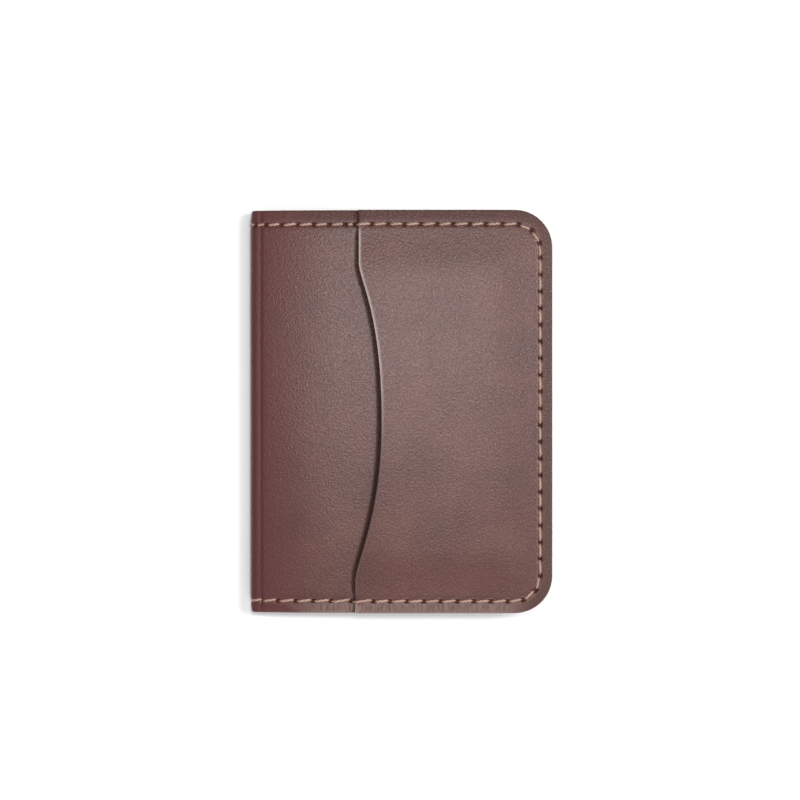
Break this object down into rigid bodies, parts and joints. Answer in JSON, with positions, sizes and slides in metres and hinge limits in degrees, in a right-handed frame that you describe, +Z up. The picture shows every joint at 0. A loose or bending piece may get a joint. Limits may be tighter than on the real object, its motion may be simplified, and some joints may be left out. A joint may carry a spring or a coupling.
{
  "type": "bifold card wallet",
  "caption": "Slim leather bifold card wallet with a rounded free edge, a scooped quick pocket on the front cover, inner card slots and a saddle-stitched seam.",
  "frame": {"origin": "on the resting plane under the middle of the closed wallet, which lies on its rear cover", "axes": "+X from the spine to the free edge, +Y along the spine towards the wallet's upper end, +Z up out of the front cover"},
  "size_m": [0.0762, 0.1016, 0.0082],
  "materials": {
    "shell_leather": "full-grain, waxed, softly worn",
    "pocket_leather": "full-grain, waxed",
    "lining_leather": "thin, smooth, matt",
    "waxed_thread": "waxed polyester, satin"
  },
  "bodies": {
    "rear_cover": {"shell_rear_cover": "shell_leather", "lining_rear": "lining_leather", "rear_slot_back_panel": "pocket_leather", "rear_slot_front_panel": "pocket_leather", "seam_thread_rear_outside": "waxed_thread", "seam_thread_rear_inside": "waxed_thread"},
    "spine_strip": {"shell_spine": "shell_leather", "lining_spine": "lining_leather", "seam_thread_spine_top_outside": "waxed_thread", "seam_thread_spine_top_inside": "waxed_thread", "seam_thread_spine_bottom_outside": "waxed_thread", "seam_thread_spine_bottom_inside": "waxed_thread"},
    "front_cover": {"shell_front_cover": "shell_leather", "lining_front": "lining_leather", "front_slot_panel": "pocket_leather", "quick_pocket_panel": "shell_leather", "seam_thread_front_outside": "waxed_thread", "seam_thread_front_inside": "waxed_thread"}
  },
  "joints": [
    {"name": "spine_fold_1", "type": "hinge", "parent": "rear_cover", "child": "spine_strip", "pos_m": [-0.03708, 0, 0.00102], "axis": [0, -1, 0], "range_deg": [0, 88]},
    {"name": "spine_fold_2", "type": "hinge", "parent": "spine_strip", "child": "front_cover", "pos_m": [-0.03708, 0, 0.00593], "axis": [0, -1, 0], "range_deg": [0, 88]}
  ],
  "couplings": [
    {"joint": "spine_fold_2", "follows": "spine_fold_1", "ratio": 1}
  ]
}
